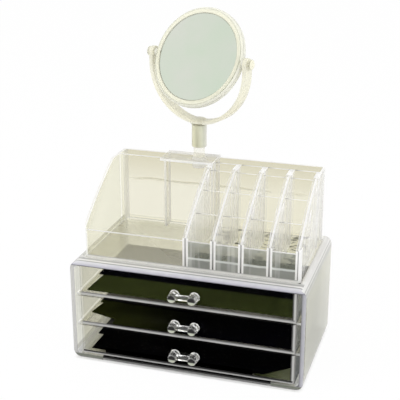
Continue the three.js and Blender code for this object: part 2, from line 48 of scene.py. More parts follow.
class Feed:
    """A value, colour or vector on its way through a shader. Sums with it add Math nodes."""

    def __init__(self, tree, socket=None):
        self.tree = tree
        self.socket = socket

    def node(self, kind, settings=None, inputs=None, output=0):
        """Adds one node, with its settings made first, and gives the feed from one of its outputs."""
        new = self.tree.nodes.new(kind)
        for key, value in (settings or {}).items():
            if key == "stops":
                ramp = new.color_ramp.elements
                while len(ramp) < len(value):
                    ramp.new(0.5)
                for stop, (place, colour) in zip(ramp, value):
                    stop.position = place
                    stop.color = colour
            else:
                setattr(new, key, value)
        for key, value in (inputs or {}).items():
            if isinstance(value, Feed):
                self.tree.links.new(value.socket, new.inputs[key])
            else:
                new.inputs[key].default_value = value
        return Feed(self.tree, new.outputs[output] if new.outputs else None)

    def sum(self, operation, *parts):
        return self.node("ShaderNodeMath", {"operation": operation}, dict(enumerate(parts)))

    def __add__(self, other):
        return self.sum("ADD", self, other)

    def __radd__(self, other):
        return self.sum("ADD", other, self)

    def __sub__(self, other):
        return self.sum("SUBTRACT", self, other)

    def __rsub__(self, other):
        return self.sum("SUBTRACT", other, self)

    def __mul__(self, other):
        return self.sum("MULTIPLY", self, other)

    def __truediv__(self, other):
        return self.sum("DIVIDE", self, other)

    def __pow__(self, other):
        return self.sum("POWER", self, other)

    def __abs__(self):
        return self.sum("ABSOLUTE", self)

    def clipped(self):
        return self.node("ShaderNodeClamp", None, {"Value": self})

    def blended(self, low, high):
        """A colour between two others, by this value. A Mix node's colour sockets go by number."""
        return self.node("ShaderNodeMix", {"data_type": "RGBA"}, {0: self, 6: low, 7: high}, output=2)

    def noise(self, scale, detail):
        """A random value between 0 and 1 that changes smoothly with this place."""
        return self.node("ShaderNodeTexNoise", None, {"Vector": self, "Scale": scale, "Detail": detail})

    def mixed(self, other, share):
        """This surface with a share of another one in it."""
        return self.node("ShaderNodeMixShader", None, {0: share, 1: self, 2: other})


def along(place, axis):
    """How far a place or direction lies along an axis: X to the right, Y away from the front, Z up."""
    return place.node("ShaderNodeSeparateXYZ", None, {"Vector": place}, output=axis)


def new_finish(name):
    """A material that has no nodes yet, and the feed that its nodes start from."""
    made = bpy.data.materials.new(name)
    made.use_nodes = True
    made.node_tree.nodes.clear()
    return made, Feed(made.node_tree)


def seen_directly(start):
    """One where the eye looks, also by way of a gloss or through clear plastic."""
    camera_ray = start.node("ShaderNodeLightPath", output="Is Camera Ray")
    glossy_ray = start.node("ShaderNodeLightPath", output="Is Glossy Ray")
    through_ray = start.node("ShaderNodeLightPath", output="Is Transmission Ray")
    return (camera_ray + glossy_ray + through_ray).clipped()


scene = bpy.context.scene
scene.view_settings.view_transform = "Standard"
scene.cycles.max_bounces = 48
scene.cycles.transmission_bounces = 48
scene.cycles.glossy_bounces = 12
scene.cycles.diffuse_bounces = 3
scene.cycles.transparent_max_bounces = 96
scene.cycles.caustics_reflective = False
scene.cycles.caustics_refractive = True

tipped_down = 0.351
turned_left = 0.299
camera_data = bpy.data.cameras.new("camera")
camera_data.sensor_width = 36
camera_data.lens = 87.7
camera_data.clip_end = 20
camera = bpy.data.objects.new("camera", camera_data)
camera.location = (0.267, -0.8841, 0.4976)
camera.rotation_euler = (math.pi / 2 - tipped_down, 0, turned_left)
scene.collection.objects.link(camera)
scene.camera = camera

shaded_wall = (0.30, 0.30, 0.36, 1)
bright_wall = (1.0, 0.995, 0.97, 1)
white = (1, 1, 1, 1)
world = bpy.data.worlds.new("studio")
scene.world = world
world.use_nodes = True
world.node_tree.nodes.clear()
air = Feed(world.node_tree)
looking = air.node("ShaderNodeTexCoord", output="Generated")
room_level, lighter_back, darker_up, darker_right = 1.05, 0.3, 0.3, 0.12
brightness = (along(looking, "Y") * lighter_back + room_level
              - along(looking, "Z") * darker_up - along(looking, "X") * darker_right)
room_colour = brightness.clipped().blended(shaded_wall, bright_wall)
sky_colour = air.node("ShaderNodeLightPath", output="Is Camera Ray").blended(room_colour, white)
sky = air.node("ShaderNodeBackground", None, {"Color": sky_colour, "Strength": 1.0})
air.node("ShaderNodeOutputWorld", None, {"Surface": sky})

sweep_side, sweep_front, sweep_back = 6, -4, 8
below_case = 0.0003
sweep_form = bmesh.new()
sweep_corners = (
    (-sweep_side, sweep_front, 0),
    (sweep_side, sweep_front, 0),
    (sweep_side, sweep_back, 0),
    (-sweep_side, sweep_back, 0),
)
sweep_form.faces.new([sweep_form.verts.new(corner) for corner in sweep_corners])
sweep_mesh = bpy.data.meshes.new("sweep")
sweep_form.to_mesh(sweep_mesh)
sweep_form.free()
sweep = bpy.data.objects.new("sweep", sweep_mesh)
sweep.location.z = -below_case
scene.collection.objects.link(sweep)

shadow_side, shadow_front, shadow_back = 0.116, -0.0732, 0.066
shadow_fade, front_fade = 0.004, 0.00111
whiteness = 0.97
sweep_paint, paint = new_finish("white_sweep")
sweep_place = paint.node("ShaderNodeTexCoord", output="Object")
out_at_side = (abs(along(sweep_place, "X")) - shadow_side) / shadow_fade
out_at_back = (along(sweep_place, "Y") - shadow_back) / shadow_fade
out_at_front = (shadow_front - along(sweep_place, "Y")) / front_fade
in_the_open = (out_at_side.clipped() + out_at_back.clipped() + out_at_front.clipped()).clipped()
shown_white = seen_directly(paint) * in_the_open * whiteness
lit = paint.node("ShaderNodeBsdfDiffuse", None, {"Color": (0.9, 0.9, 0.9, 1)})
shining = paint.node("ShaderNodeEmission", None, {"Color": white, "Strength": 1.0})
sweep_look = lit.mixed(shining, share=shown_white)
paint.node("ShaderNodeOutputMaterial", None, {"Surface": sweep_look})
sweep_mesh.materials.append(sweep_paint)

lit_place = Vector((0, 0, 0.12))
for lamp_name, lamp_place, lamp_size, lamp_power in (
    ("key_softbox", (-0.9, -0.9, 1.4), 0.9, 11),
    ("side_softbox", (1.3, -0.2, 0.8), 0.7, 6),
):
    lamp_data = bpy.data.lights.new(lamp_name, "AREA")
    lamp_data.shape = "SQUARE"
    lamp_data.size = lamp_size
    lamp_data.energy = lamp_power
    lamp = bpy.data.objects.new(lamp_name, lamp_data)
    lamp.location = lamp_place
    lamp.visible_glossy = False
    lamp.rotation_euler = (lit_place - Vector(lamp_place)).to_track_quat("-Z", "Y").to_euler()
    scene.collection.objects.link(lamp)


# The case: one clear polystyrene moulding, open at the front, with ribs inside for the drawers.
# It leaves its mould with small radii on every edge. Its front edges catch the dark sheets behind them, and
# the light and shade of its edges, bands and ribs are painted on.

def moulded(name, node, body, softening, finishes, finish_of=None, cuts=()):
    """The solid of a node as a moulding that takes the node's place. Its faces are cut where the finish
    changes, and take what finish_of gives for their middle, direction and whole width, or else the first
    finish. Its rounded edges take the last one."""
    hair = 1e-6
    flat = math.radians(0.5)
    corner = math.radians(35)
    form = bmesh.new()
    form.from_mesh(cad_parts[node].data)
    bmesh.ops.remove_doubles(form, verts=form.verts, dist=hair)
    bmesh.ops.dissolve_limit(form, angle_limit=flat, verts=form.verts, edges=form.edges)
    breadth = form.faces.layers.float.new("breadth")
    for face in form.faces:
        face[breadth] = face.calc_area() * 2 / face.calc_perimeter()
    for axis, place in cuts:
        across = Vector([axis == letter for letter in "XYZ"])
        everything = form.verts[:] + form.edges[:] + form.faces[:]
        bmesh.ops.bisect_plane(form, geom=everything, dist=hair, plane_co=across * place, plane_no=across)
    if finish_of:
        for face in form.faces:
            taken = finish_of(face.calc_center_median(), face.normal, face[breadth])
            face.material_index = finishes.index(taken)
    mesh = bpy.data.meshes.new(name)
    form.to_mesh(mesh)
    form.free()
    for finish in finishes:
        mesh.materials.append(finish)
    sharp = bpy.data.objects.new(name + "_sharp", mesh)
    scene.collection.objects.link(sharp)
    rounding = sharp.modifiers.new("rounding", "BEVEL")
    rounding.width = softening
    rounding.segments = 2
    rounding.limit_method = "ANGLE"
    rounding.angle_limit = corner
    rounding.harden_normals = True
    rounding.material = len(finishes) - 1
    ready = bpy.context.evaluated_depsgraph_get()
    rounded = bpy.data.meshes.new_from_object(sharp.evaluated_get(ready))
    bpy.data.objects.remove(sharp)
    rounded.name = name
    rounded.shade_smooth()
    rounded.set_sharp_from_angle(angle=corner)
    piece = bpy.data.objects.new(name, rounded)
    scene.collection.objects.link(piece)
    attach(piece, body)
    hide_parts(node)
    return piece


refractive_index = 1.57


def plastic(name, ahead, aside, tint, faintest, gather, depth, marks=None, high_tint=None, heights=(0, 1)):
    """Clear plastic. Light goes straight through it and takes its tint, or with height its high tint. Its
    veil over what is behind it is faintest where it is looked through squarely. Depth is what a grazing view
    adds, and gather how late that comes. Faces that look ahead and aside have their own colours, which are
    painted light: the different light that falls on front and side faces. Marks, if there are any, add to
    the veil."""
    made, start = new_finish(name)
    place = start.node("ShaderNodeTexCoord", output="Object")
    ripples = place.noise(scale=30, detail=2)
    scuffs = place.noise(scale=420, detail=5)
    worn = ((scuffs - 0.6) * 6).clipped()
    grazing = start.node("ShaderNodeLayerWeight", None, {"Blend": 0.5}, output="Facing")
    veil = grazing ** gather * depth + (ripples * 0.6 + 0.7 + worn * 0.25) * faintest
    if marks:
        veil = veil + marks(place)
    # Painted light: faces that look ahead and faces that look aside take different colours, as the light
    # that falls on them differs.
    direction = start.node("ShaderNodeTexCoord", output="Normal")
    sideways = abs(along(direction, "X"))
    surface = start.node("ShaderNodeBump", None, {"Strength": 0.05, "Distance": 0.002, "Height": ripples})
    outside = start.node("ShaderNodeBsdfPrincipled", None, {
        "Base Color": sideways.blended((*ahead, 1), (*aside, 1)),
        "IOR": refractive_index,
        "Roughness": worn * 0.1 + 0.06,
        "Specular IOR Level": 0.3,
        "Normal": surface,
    })
    between = [(one + other) / 2 for one, other in zip(ahead, aside)]
    inside = start.node("ShaderNodeBsdfTranslucent", None, {"Color": (*between, 1)})
    body = outside.mixed(inside, share=0.4)
    through = start.node("ShaderNodeBsdfTransparent", None, {"Color": (*tint, 1)})
    if high_tint:
        low, high = heights
        raised = ((along(place, "Z") - low) / (high - low)).clipped()
        deeper = start.node("ShaderNodeBsdfTransparent", None, {"Color": (*high_tint, 1)})
        through = through.mixed(deeper, share=raised)
    shown = through.mixed(body, share=veil.clipped())
    start.node("ShaderNodeOutputMaterial", None, {"Surface": shown})
    return made


def banded(name, axis, low, high, stops, veil, marks=None):
    """An edge of clear plastic, with painted bands of light and shade for the light and the dark that it
    gathers
    from behind it: along an axis, or round the middle that is given as axis. Where marks is one, the bands
    are paler."""
    made, start = new_finish(name)
    place = start.node("ShaderNodeTexCoord", output="Object")
    waver = place.noise(scale=90, detail=3)
    if isinstance(axis, Vector):
        between = {0: place, 1: axis}
        reach = start.node("ShaderNodeVectorMath", {"operation": "DISTANCE"}, between, output="Value")
    else:
        reach = along(place, axis)
    step = (reach - low) / (high - low) + (waver - 0.5) * 0.05
    colours = [(spot, (*colour, 1)) for spot, colour in stops]
    bands = start.node("ShaderNodeValToRGB", {"stops": colours}, {0: step.clipped()})
    if marks:
        bands = (marks(place) * 0.3).blended(bands, (0.9, 0.92, 0.92, 1))
    outside = start.node("ShaderNodeBsdfPrincipled", None, {
        "Base Color": bands,
        "IOR": refractive_index,
        "Roughness": waver * 0.1 + 0.08,
        "Specular IOR Level": 0.2,
    })
    inside = start.node("ShaderNodeBsdfTranslucent", None, {"Color": (0.97, 0.96, 0.90, 1)})
    body = outside.mixed(inside, share=bands * 0.3)
    through = start.node("ShaderNodeBsdfTransparent", None, {"Color": (0.95, 0.95, 0.95, 1)})
    uneven = (waver * 0.1 + (veil - 0.05)).clipped()
    shown = through.mixed(body, share=uneven)
    start.node("ShaderNodeOutputMaterial", None, {"Surface": shown})
    return made


def grey(level, blue=0.0):
    """A nearly neutral grey, a little warm, or bluer by blue."""
    return (level, level * 0.995, level * (0.99 + blue))


case_low, case_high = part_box("case_shell")
tray_low, tray_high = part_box("organizer_tray")
case_front = case_low[1]
case_top = case_high[2]
case_half_width = case_high[0]
case_wall = 0.0042
case_rib = 0.0046
case_floor = 0.004
case_roof = 0.0041
case_ceiling = case_top - case_roof
recess_depth = 0.002
recess_edge = case_front + 0.011
relief_end = case_half_width - 0.032
dark_floor_end = case_front + 0.006
skin = 0.0005
squarely, mostly, slightly = 0.9, 0.8, 0.2  # how much of a face's direction lies along an axis

case_clear = plastic("case_clear", ahead=(0.91, 0.90, 0.81), aside=(1.0, 1.0, 0.90),
                     tint=(0.98, 0.978, 0.955), faintest=0.006, gather=3.4, depth=1.0)
top_clear = plastic("top_clear", ahead=(0.94, 0.93, 0.86), aside=(0.94, 0.93, 0.86),
                    tint=(0.992, 0.99, 0.98), faintest=0.004, gather=6.0, depth=0.6)
# Painted shade and reflection: the grey that the case's narrow faces show.
case_edge = plastic("case_edge", ahead=(0.70, 0.70, 0.68), aside=(0.80, 0.80, 0.78),
                    tint=(0.95, 0.95, 0.94), faintest=0.5, gather=1.5, depth=0.3)
# Painted shade: darker copies of the case's clear for the side walls' inner faces, and the left one also
# darkens what is seen through it.
inner_clear = plastic("inner_clear", ahead=(0.62, 0.61, 0.54), aside=(0.60, 0.60, 0.52),
                      tint=(0.96, 0.955, 0.93), faintest=0.02, gather=4.0, depth=0.85)
left_inner = plastic("left_inner", ahead=(0.62, 0.61, 0.54), aside=(0.60, 0.60, 0.52),
                     tint=(0.86, 0.86, 0.81), faintest=0.02, gather=4.0, depth=0.85)
# Painted pale glints on the narrow faces of the ribs.
rib_clear = plastic("rib_clear", ahead=(0.93, 0.94, 0.96), aside=(0.93, 0.94, 0.96),
                    tint=(0.95, 0.95, 0.95), faintest=0.55, gather=1.5, depth=0.3)
# Painted shade: the top of the case's floor near the front, under the lowest drawer, all but black.
front_floor_shade = plastic("front_floor_shade", ahead=grey(0.01), aside=grey(0.01),
                     tint=grey(0.02), faintest=0.0, gather=4.0, depth=0.0)
# Painted shade and the painted dark of the sheets in the front of the case's floor, with paler bands low
# down.
foot_end = banded("foot_end", "Z", 0, case_floor, veil=0.92, stops=(
    (0, grey(0.16)), (0.2, grey(0.24)), (0.45, (0.14, 0.155, 0.12)), (0.75, (0.15, 0.165, 0.13)),
    (1, grey(0.26))))
case_foot = banded("case_foot", "Z", 0, case_floor, veil=0.97, stops=(
    (0, grey(0.20)), (0.30, grey(0.36)), (0.42, grey(0.26)), (0.60, grey(0.03)), (0.75, grey(0.005)),
    (1, grey(0.003))))
# Painted light and shade in bands on the front of the roof: dark and bluish below, paler above.
case_brow = banded("case_brow", "Z", case_ceiling, case_top, veil=0.95, stops=(
    (0, grey(0.04, 0.2)), (0.10, grey(0.12, 0.2)), (0.22, grey(0.46, 0.18)), (0.55, grey(0.60, 0.13)),
    (1, grey(0.76, 0.08))))
# Painted pale highlights and dark lines along the lip in front of the recess.
case_lip = banded("case_lip", "Y", case_front, recess_edge, veil=0.92, stops=(
    (0, grey(0.78, 0.08)), (0.24, grey(0.78, 0.08)), (0.34, grey(0.33)), (0.42, grey(0.34)),
    (0.52, grey(0.93)), (0.68, grey(0.93)), (0.80, grey(0.48)), (1, grey(0.36))))
# Painted shade in the gap round the tray's recess, lighter towards the tray.
recess_gap = banded("recess_gap", "Y", recess_edge, tray_low[1], veil=0.88, stops=(
    (0, grey(0.38)), (0.35, grey(0.52)), (1, grey(0.90))))
# Painted shade on the front ends of the side walls: bluish and darker on the right, in greyer bands on the
# left.
right_jamb = banded("right_jamb", "X", case_half_width - case_wall, case_half_width, veil=0.92, stops=(
    (0, grey(0.12, 0.12)), (0.18, grey(0.27, 0.14)), (0.45, grey(0.41, 0.15)), (1, grey(0.50, 0.10))))
left_jamb = banded("left_jamb", "X", -case_half_width, -case_half_width + case_wall, veil=0.85, stops=(
    (0, grey(0.46, 0.02)), (0.25, grey(0.55)), (0.5, grey(0.43)), (0.75, grey(0.50)), (1, grey(0.36))))
# Painted white highlights and a dark line across the roof right of the tray.
right_margin = banded("right_margin", "X", tray_high[0], case_half_width, veil=0.85, stops=(
    (0, grey(0.80)), (0.16, grey(1.0, 0.01)), (0.24, grey(0.94)), (0.45, grey(0.94)),
    (0.52, grey(1.0, 0.01)), (0.58, grey(0.94)), (0.72, grey(0.94)), (0.79, grey(0.44)), (0.85, grey(0.84)),
    (1, grey(1.0, 0.01))))
# Painted light on the case's rounded edges, with painted shade along the lowest ones.
edge_line = banded("edge_line", "Z", 0, case_top, veil=0.92, stops=(
    (0, grey(0.45)), (0.03, grey(0.60)), (0.08, grey(0.86, 0.06)), (1, grey(0.90, 0.06))))


def case_finish(centre, facing, width):
    """Which finish a face of the case takes."""
    looks_up = facing.z > squarely
    on_rim = looks_up and centre.z > case_top - recess_depth
    off_side = abs(centre.x)
    if facing.y < -squarely and centre.y < case_front + skin:
        if centre.z < case_floor:
            return case_foot if off_side < relief_end else foot_end
        if centre.z > case_ceiling:
            return case_brow
        return right_jamb if centre.x > 0 else left_jamb
    if on_rim and centre.y < recess_edge:
        return case_lip
    if on_rim and centre.y < tray_low[1]:
        return recess_gap
    if facing.z > slightly and centre.z > case_ceiling and centre.x > tray_high[0]:
        return right_margin
    if width < case_rib and off_side < case_half_width - case_wall and case_floor < centre.z < case_ceiling:
        return rib_clear
    if looks_up and centre.z < case_floor + skin and centre.y < dark_floor_end and off_side < relief_end:
        return front_floor_shade
    if width < case_rib:
        return case_edge
    if abs(facing.x) > mostly and off_side < case_half_width - skin * 2:
        return left_inner if centre.x < 0 else inner_clear
    return top_clear if looks_up and centre.z > case_ceiling else case_clear


case = moulded(
    "case", "case_shell", "case", softening=0.0005, finish_of=case_finish,
    finishes=(case_clear, case_edge, case_foot, case_brow, case_lip, recess_gap, right_jamb, left_jamb,
              right_margin, top_clear, inner_clear, left_inner, foot_end, rib_clear, front_floor_shade, edge_line),
    cuts=(("X", -relief_end), ("X", relief_end), ("X", tray_high[0]), ("Y", dark_floor_end),
          ("Y", recess_edge), ("Y", tray_low[1]), ("Z", case_floor), ("Z", case_ceiling)),
)


# The drawers: clear mouldings on the case's ribs, each with a bow-tie handle pegged through its front.
# A dark sheet lies loose on each floor. The lower it lies, the less light reaches it, and that shade is
# painted into its colour.

shade_fade = 0.004


def drawn_out(start):
    """One where a drawer stands out of the case, in the open light."""
    in_case = start.node("ShaderNodeTexCoord", {"object": case}, output="Object")
    return ((case_front - along(in_case, "Y")) / shade_fade).clipped()


def side_in_light(place):
    """Takes the painted shade from a drawer's side where nothing dark lies beside it."""
    return drawn_out(place) * -0.9


def dark_sheet(name, near_colour, deep_shade_colour, turn, spread):
    """Dark flocked sheet: olive in the open, its own dark colour with a painted sheen. Inside the case its
    colour
    is painted shade: its near colour up to the turn, a place to the right and away from the front, and a
    deeper painted shade behind that and, by the spread, right of it."""
    made, start = new_finish(name)
    place = start.node("ShaderNodeTexCoord", output="Object")
    nap = place.noise(scale=900, detail=4)
    cast = place.noise(scale=22, detail=2)
    in_case = start.node("ShaderNodeTexCoord", {"object": case}, output="Object")
    turn_right, turn_away = turn
    behind_turn = ((along(in_case, "Y") - turn_away) / shade_fade).clipped()
    beside_turn = ((along(in_case, "X") - turn_right) / spread).clipped()
    under = (behind_turn + beside_turn + (cast - 0.5) * 0.3).clipped()
    inside_colour = under.blended((*near_colour, 1), (*deep_shade_colour, 1))
    surface = start.node("ShaderNodeBump", None, {"Strength": 0.4, "Distance": 0.0005, "Height": nap})
    body = start.node("ShaderNodeBsdfPrincipled", None, {
        "Base Color": drawn_out(start).blended(inside_colour, (*open_olive, 1)),
        "Roughness": 0.5 + nap * 0.2,
        "Specular IOR Level": 0.0,
        "Normal": surface,
    })
    start.node("ShaderNodeOutputMaterial", None, {"Surface": body})
    return made


foot_height = 0.0033
front_corner = 0.0036
drawer_wall = 0.0030
side_depth = 0.006
front_end_start, front_end_stop = 0.1070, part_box("drawer_1")[1][0]
shade_start, shade_end = -0.085, 0.070
shade_height = 0.0055
bare_start, bare_end = 0.064, 0.098
barely = 0.05
open_olive = (0.024, 0.029, 0.012)

knob_clear, knob = new_finish("knob_clear")
knob_place = knob.node("ShaderNodeTexCoord", output="Object")
knob_wear = knob_place.noise(scale=300, detail=4)
knob_body = knob.node("ShaderNodeBsdfPrincipled", None, {
    "Base Color": (0.985, 0.985, 0.97, 1),
    "Transmission Weight": 1.0,
    "IOR": refractive_index,
    "Roughness": knob_wear * 0.03 + 0.01,
})
knob.node("ShaderNodeOutputMaterial", None, {"Surface": knob_body})

# Painted white highlight on the knobs' rounded edges.
knob_rim = plastic("knob_rim", ahead=(1.0, 1.0, 0.97), aside=(1.0, 1.0, 0.97),
                   tint=(0.95, 0.95, 0.94), faintest=0.5, gather=2.0, depth=0.3)
drawer_clear = plastic("drawer_clear", ahead=(0.70, 0.69, 0.62), aside=(0.66, 0.65, 0.58),
                       tint=(0.975, 0.972, 0.95), faintest=0.001, gather=5.0, depth=0.8)
# Painted shade: the greys of the drawers' narrow faces and rounded edges.
drawer_edge = plastic("drawer_edge", ahead=(0.60, 0.60, 0.58), aside=(0.66, 0.66, 0.62),
                      tint=(0.96, 0.96, 0.95), faintest=0.12, gather=2.0, depth=0.3)
drawer_line = plastic("drawer_line", ahead=(0.60, 0.60, 0.60), aside=(0.7, 0.7, 0.7),
                      tint=(0.8, 0.8, 0.8), faintest=0.06, gather=2.0, depth=0.3)
# Painted shade on the tops of the drawers' fronts, under the strip above them.
front_rim = plastic("front_rim", ahead=grey(0.3), aside=grey(0.3),
                    tint=grey(0.5), faintest=0.05, gather=2.0, depth=0.1)
# Painted shade of the dark slit beside each drawer's right side, which the drawer loses where it stands out
# of the case.
right_side = plastic("right_side", ahead=(0.16, 0.18, 0.19), aside=(0.08, 0.09, 0.10),
                     tint=(0.88, 0.90, 0.92), faintest=0.02, gather=1.5, depth=1.1, marks=side_in_light)
foot_shade = plastic("foot_shade", ahead=grey(0.01), aside=grey(0.01),
                     tint=grey(0.03), faintest=0.0, gather=4.0, depth=0.0)
# Painted shade on the lowest drawer's bare floor right of its sheet, darkest beside the sheet.
bare_floor_shade = banded("bare_floor_shade", "X", bare_start, bare_end, veil=0.97, stops=(
    (0, (0.008, 0.010, 0.003)), (0.45, (0.05, 0.058, 0.025)), (0.7, (0.10, 0.115, 0.06)),
    (1, (0.14, 0.155, 0.095))))
# Painted light and shade in bands across the right end of each drawer's front, with a pale painted highlight
# near its corner.
front_end = banded("front_end", "X", front_end_start, front_end_stop, veil=0.92, stops=(
    (0, grey(0.02)), (0.12, grey(0.08)), (0.22, grey(0.52)), (0.28, grey(0.60)), (0.36, grey(0.52)),
    (0.46, grey(0.20)), (0.56, grey(0.11, 0.1)), (1, grey(0.11, 0.1))))

# Per drawer: painted shade on the sheet inside the case, darker for the lower drawers, and painted light and
# shade in bands across the foot.
for level, near_colour, deep_shade_colour, turn, spread, foot_stops in (
    (1, (0.030, 0.038, 0.012), (0.0015, 0.0015, 0.004), (0.12, -0.028), 0.2,
     ((0, grey(0.22)), (0.15, grey(0.46)), (0.36, grey(0.50)), (0.6, grey(0.27)), (1, grey(0.10)))),
    (2, (0.020, 0.024, 0.005), (0.0005, 0.0005, 0.002), (-0.06, -0.022), 0.06,
     ((0, grey(0.22)), (0.15, grey(0.50)), (0.36, grey(0.53)), (0.6, grey(0.26)), (1, grey(0.05)))),
    (3, (0.0004, 0.0004, 0.0006), (0.0002, 0.0002, 0.001), (-0.08, -0.03), 0.05,
     ((0, grey(0.30)), (0.12, grey(0.50)), (0.34, grey(0.48)), (0.48, grey(0.12)), (0.62, grey(0.02)),
      (1, grey(0.002)))),
):
    body = f"drawer_{level}"
    is_lowest = level == 3
    drawer_low, drawer_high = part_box(body)
    foot_top = drawer_low[2] + foot_height
    shade_top = foot_top + (shade_height if is_lowest else 0)
    # Painted light and shade in bands across the drawer's foot.
    drawer_foot = banded(f"drawer_foot_{level}", "Z", drawer_low[2], foot_top, veil=0.97, stops=foot_stops)

    def drawer_finish(centre, facing, width):
        """Which finish a face of a drawer takes. The lowest has painted shade over its foot and on a strip
        of bare floor.
        """
        looks_up = facing.z > squarely
        on_front = facing.y < -squarely and centre.y < drawer_low[1] + skin
        at_front_end = centre.x > front_end_start and centre.y < drawer_low[1] + front_corner
        if on_front and centre.z < foot_top:
            return drawer_foot
        if at_front_end and facing.y < -barely and facing.x > -barely:
            return front_end
        if on_front and centre.z < shade_top and shade_start < centre.x < shade_end:
            return foot_shade
        if looks_up and centre.y < drawer_low[1] + drawer_wall:
            return front_rim
        if looks_up and is_lowest and centre.z < drawer_low[2] + drawer_wall and centre.x > shade_end:
            return bare_floor_shade
        if facing.x > squarely and centre.x > drawer_high[0] - side_depth and width > drawer_wall:
            return right_side
        return drawer_edge if width < drawer_wall else drawer_clear

    drawer = moulded(
        f"drawer_moulding_{level}", body, body, softening=0.0004, finish_of=drawer_finish,
        finishes=(drawer_clear, drawer_edge, drawer_foot, foot_shade, front_rim, right_side, bare_floor_shade,
                  front_end, drawer_line),
        cuts=(("Z", foot_top), ("Z", shade_top), ("X", shade_start), ("X", shade_end),
              ("X", front_end_start)),
    )

    handle_low, handle_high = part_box(f"handle_{level}")
    # Painted light and shade on the knobs' flat ends: a pale band low down and the dark sheet behind them
    # above it.
    knob_face = banded(f"knob_face_{level}", "Z", handle_low[2], handle_high[2], veil=1.0, stops=(
        (0, (0.50, 0.53, 0.44)), (0.36, (0.58, 0.61, 0.50)), (0.46, grey(0.015)), (0.85, grey(0.01)),
        (1, grey(0.2))))

    def handle_finish(centre, facing, width):
        """The flat ends of the knobs have painted light and the painted dark of the sheet behind them, and
        the rest is plain clear.
        """
        return knob_face if facing.y < -squarely and centre.y < handle_low[1] + skin else knob_clear

    handle = moulded(
        f"bow_handle_{level}", f"handle_{level}", body, softening=0.0004, finish_of=handle_finish,
        finishes=(knob_clear, knob_face, knob_rim),
    )
    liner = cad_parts[f"liner_{level}"]
    liner.data.materials.clear()
    liner.data.materials.append(dark_sheet(f"dark_sheet_{level}", near_colour, deep_shade_colour, turn, spread))


# The tray: one clear moulding that stands in the case's shallow recess, with hollow dividers.
# Its walls look cream against the light, deeper on the back wall where that warm light is painted, and the
# dividers and every edge look white, with painted highlights and streaks of light.

tray_front = tray_low[1]
tray_back = tray_high[1]
tray_base = tray_low[2]
tray_foot_top = tray_base + 0.0032
tray_floor_top = tray_base + 0.006
tray_edge = 0.0030
cross_wall = 0.0022
back_wall_front = tray_back - 0.004
cells_back = tray_back - 0.01
divider_half = 0.0028
divider_hollow = 0.0008
divider_pitch = 0.028
divider_places = [tray_high[0] - divider_half - divider_pitch * column for column in range(5)]
grid_left = divider_places[-1] - divider_half
cell_front_top = tray_base + 0.0295
bar_top = tray_base + 0.03
high_tint_start = tray_base + 0.042
highlight_height = tray_base + 0.0455
crest_front = tray_base + 0.033
crest_run = 0.0774
crest_slope = (tray_high[2] - crest_front) / crest_run
crest_fade = 0.012
highlight_sway, highlight_sharpness = 0.005, 1100
glint_count = 12


def light_streaks(place):
    """Upright white streaks of painted light in the clear plastic."""
    upright = place.node("ShaderNodeMapping", None, {"Vector": place, "Scale": (120, 120, 8)})
    streaks = upright.noise(scale=1, detail=2)
    return ((streaks - 0.55) * 12).clipped()


def crest_light_streaks(place):
    """Painted streaks of light that are strong just under the sloping crest and fade towards the floor, with
    a painted brightening just under the crest.
    """
    crest = (along(place, "Y") - tray_front) * crest_slope + crest_front
    near_crest = ((along(place, "Z") - crest) / crest_fade + 1).clipped()
    return (light_streaks(place) * 0.8 + near_crest * 0.12) * (near_crest * 0.85 + 0.15)


def dark_arcs(place):
    """Thin curved glints of the dark drawers below, in the rounded floors of the cells."""
    curve = place.noise(scale=55, detail=1)
    return (1 - abs(curve - 0.5) * 20).clipped() * 0.95


def shoulder_highlight(place):
    """A painted highlight: a pale line that wavers across the back wall, the reflection of the slope's
    shoulder.
    """
    waver = place.noise(scale=28, detail=1)
    off_line = abs(along(place, "Z") - highlight_height - waver * highlight_sway)
    return (1 - off_line * highlight_sharpness).clipped() * ((waver - 0.38) * 5).clipped() * 0.8


wall_clear = plastic("wall_clear", ahead=(0.90, 0.88, 0.76), aside=(0.88, 0.87, 0.74),
                     tint=(0.955, 0.948, 0.875), faintest=0.02, gather=4.0, depth=0.8)
# Painted warm light: the back wall's cream is the warm cast of the light behind it, its tint deepens towards
# the top, and a painted highlight line wavers across it.
back_clear = plastic("back_clear", ahead=(0.84, 0.82, 0.68), aside=(0.90, 0.90, 0.84),
                     tint=(0.945, 0.935, 0.87), faintest=0.03, gather=4.0, depth=0.8, marks=shoulder_highlight,
                     high_tint=(0.84, 0.82, 0.72), heights=(high_tint_start, tray_high[2]))
floor_clear = plastic("floor_clear", ahead=(0.96, 0.95, 0.88), aside=(0.94, 0.94, 0.90),
                      tint=(0.994, 0.992, 0.982), faintest=0.015, gather=5.0, depth=0.4)
cell_floor = plastic("cell_floor", ahead=(0.03, 0.035, 0.02), aside=(0.03, 0.035, 0.02),
                     tint=(0.99, 0.985, 0.96), faintest=0.01, gather=4.0, depth=0.0, marks=dark_arcs)
cell_clear = plastic("cell_clear", ahead=(0.92, 0.92, 0.90), aside=(0.98, 0.98, 1.0),
                     tint=(0.992, 0.992, 0.99), faintest=0.03, gather=4.0, depth=0.5, marks=crest_light_streaks)
crest_clear = plastic("crest_clear", ahead=(1.0, 1.0, 1.0), aside=(1.0, 1.0, 1.0),
                      tint=(0.99, 0.99, 0.99), faintest=0.08, gather=3.0, depth=0.4)
# Painted white highlight on the narrow faces and rounded edges of the tray and the bridge.
white_edge = plastic("white_edge", ahead=(1.0, 1.0, 1.0), aside=(0.99, 0.99, 1.0),
                     tint=(0.97, 0.97, 0.98), faintest=0.85, gather=1.5, depth=0.2)
# Painted light and shade in bands on the front of the tray's foot, darker at its top.
tray_foot = banded("tray_foot", "Z", tray_base, tray_foot_top, veil=0.9, stops=(
    (0, grey(0.90)), (0.6, grey(0.95)), (0.82, grey(0.6)), (1, grey(0.36))))
